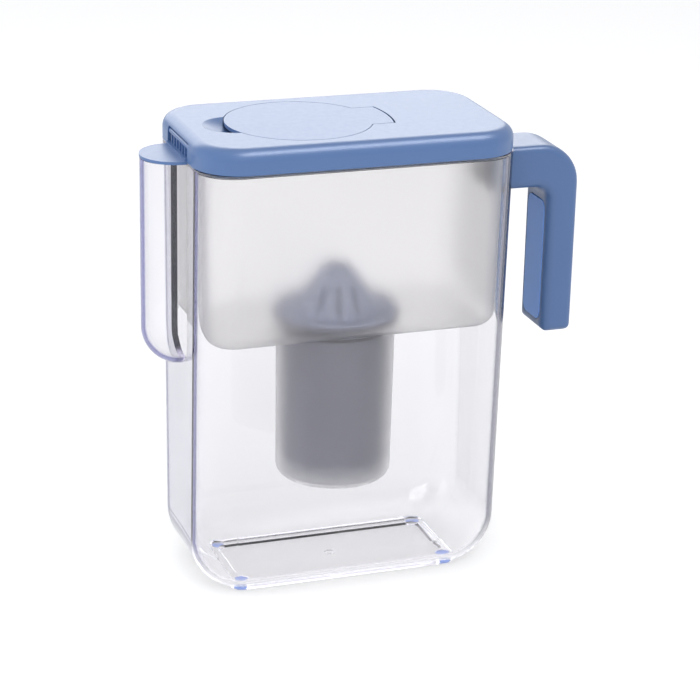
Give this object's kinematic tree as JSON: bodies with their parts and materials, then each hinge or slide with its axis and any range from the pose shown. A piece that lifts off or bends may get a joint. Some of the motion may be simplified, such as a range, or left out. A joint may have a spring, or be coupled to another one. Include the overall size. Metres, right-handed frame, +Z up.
{
  "type": "water filter pitcher with flip lid",
  "caption": "Slim clear pitcher with rounded ends, a hopper reservoir holding a filter cartridge, a low lid with a round flip flap, a covered pouring trough and an open bar handle.",
  "frame": {"origin": "on the table, in the middle of the whole part between the lip of the spout flap and the outer face of the grip", "axes": "+Z up, -X towards the pouring spout, +X towards the handle, the pitcher is mirrored about the XZ plane"},
  "size_m": [0.2598, 0.11, 0.2726],
  "materials": {
    "clear_plastic": "clear glossy moulded plastic",
    "foot_rubber": "satin",
    "handle_plastic": "smooth satin blue",
    "cover_plastic": "smooth satin blue",
    "frosted_plastic": "frosted translucent white",
    "cartridge_plastic": "smooth white",
    "seal_rubber": "satin",
    "screen_fleece": "matt felt",
    "carbon_granules": "loose dark granules",
    "cap_plastic": "smooth tinted blue",
    "lid_plastic": "smooth satin blue",
    "flap_plastic": "smooth satin blue"
  },
  "bodies": {
    "jug_body": {"jug": "clear_plastic", "foot_pads": "foot_rubber", "handle_shell": "handle_plastic", "handle_cover": "cover_plastic"},
    "reservoir_body": {"reservoir": "frosted_plastic"},
    "cartridge_body": {"cartridge_housing": "cartridge_plastic", "cartridge_seal": "seal_rubber", "outlet_screen": "screen_fleece", "filter_media": "carbon_granules", "inlet_screen": "screen_fleece", "cartridge_cap": "cap_plastic"},
    "lid_body": {"lid": "lid_plastic"},
    "fill_flap_body": {"fill_flap": "flap_plastic"},
    "spout_flap_body": {"spout_flap": "flap_plastic"}
  },
  "joints": [
    {"name": "reservoir_lift", "type": "slide", "parent": "jug_body", "child": "reservoir_body", "axis": [0, 0, 1], "range_m": [0, 0.21]},
    {"name": "cartridge_lift", "type": "slide", "parent": "reservoir_body", "child": "cartridge_body", "axis": [0, 0, 1], "range_m": [0, 0.06]},
    {"name": "lid_lift", "type": "slide", "parent": "reservoir_body", "child": "lid_body", "axis": [0, 0, 1], "range_m": [0, 0.06]},
    {"name": "fill_flap_hinge", "type": "hinge", "parent": "lid_body", "child": "fill_flap_body", "pos_m": [0.0101, 0, 0.2704], "axis": [0, 1, 0], "range_deg": [0, 105]},
    {"name": "spout_flap_hinge", "type": "hinge", "parent": "lid_body", "child": "spout_flap_body", "pos_m": [-0.1065, 0, 0.2664], "axis": [0, 1, 0], "range_deg": [0, 70]}
  ]
}
